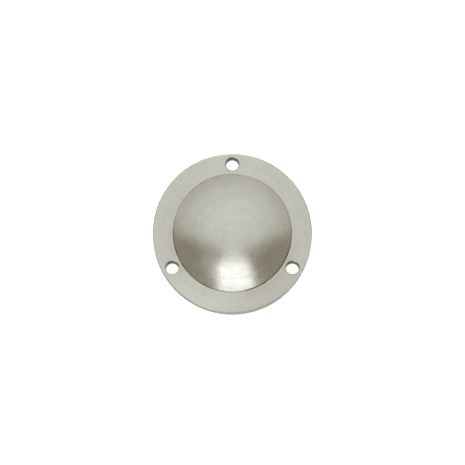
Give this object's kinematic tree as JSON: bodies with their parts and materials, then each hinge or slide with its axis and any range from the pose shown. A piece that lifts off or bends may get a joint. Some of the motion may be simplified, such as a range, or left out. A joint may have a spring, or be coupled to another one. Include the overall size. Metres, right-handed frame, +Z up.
{
  "type": "floor door holder",
  "caption": "Low round floor plate for holding a door open: flanged metal ring with screw holes around a concave dish, over a ring magnet.",
  "frame": {"origin": "centre of the rubber pad's underside, where the holder stands on the floor", "axes": "+Z up out of the dish along the holder's axis; one fixing hole lies towards +Y, the other two 120 degrees to either side of it, so the holder mirrors left to right in X"},
  "size_m": [0.05, 0.05, 0.01],
  "materials": {
    "satin_nickel_ring": "satin nickel plate, finely turned in circles, with hairline scratches",
    "satin_nickel_dish": "satin nickel plate, finely turned in circles, a little glossier than the flange",
    "magnet_plating": "smooth nickel plating on the magnet",
    "zinc_plated_steel": "bright zinc plate on rolled sheet",
    "zinc_plated_screw": "bright zinc plate on turned steel",
    "black_rubber": "matt black moulded rubber"
  },
  "bodies": {
    "root": {"body_ring": "satin_nickel_ring", "catch_dish": "satin_nickel_dish", "ring_magnet": "magnet_plating", "keeper_plate": "zinc_plated_steel", "keeper_screws": "zinc_plated_screw", "floor_pad": "black_rubber"}
  },
  "joints": []
}
